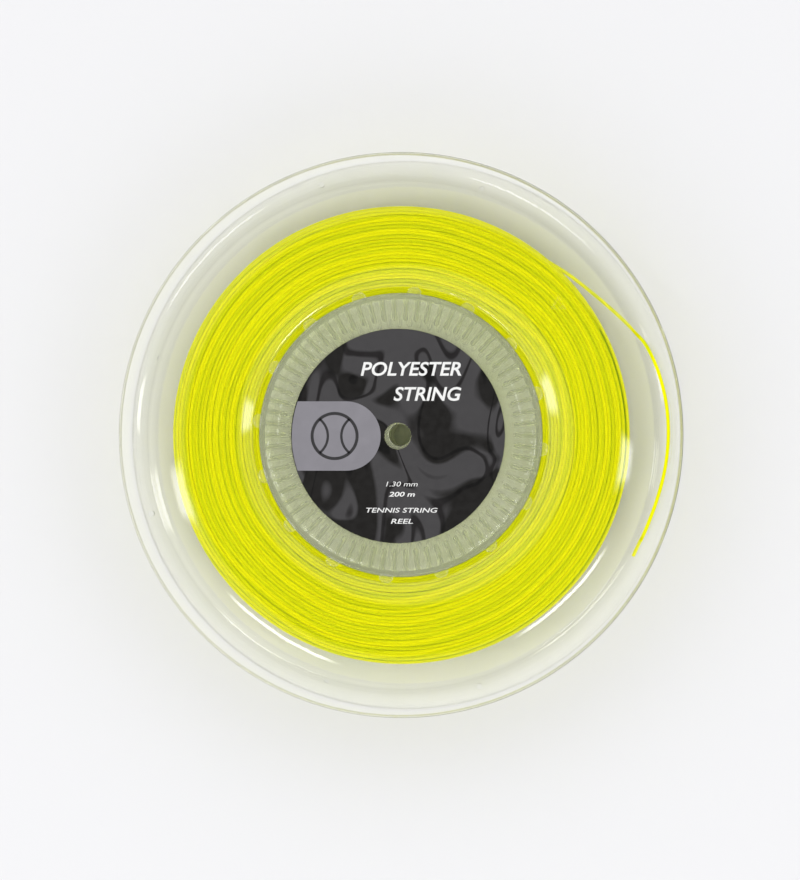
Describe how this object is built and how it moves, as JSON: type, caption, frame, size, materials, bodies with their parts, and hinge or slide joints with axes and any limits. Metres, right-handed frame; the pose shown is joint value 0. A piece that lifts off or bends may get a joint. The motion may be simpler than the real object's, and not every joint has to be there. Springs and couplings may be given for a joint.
{
  "type": "string reel",
  "caption": "Clear flat reel with domed flanges and a ribbed snap-together hub, wound with tennis string whose free end is parked through slots in the rim.",
  "frame": {"origin": "on the reel's axis, in the plane of the back rim that the reel lies on", "axes": "+Z along the spindle axis, out of the labelled front face; +X towards the side where the free end of the string is parked"},
  "size_m": [0.205, 0.205, 0.0312],
  "materials": {
    "flange_plastic": "clear polished polystyrene",
    "hub_plastic": "clear polystyrene, slightly grey",
    "label_print": "satin printed sticker",
    "string_polyester": "smooth bright yellow monofilament"
  },
  "bodies": {
    "root": {"front_flange": "flange_plastic", "back_flange": "flange_plastic", "front_hub": "hub_plastic", "back_hub": "hub_plastic", "front_label": "label_print", "back_label": "label_print", "string_winding": "string_polyester", "string_tail": "string_polyester"}
  },
  "joints": []
}
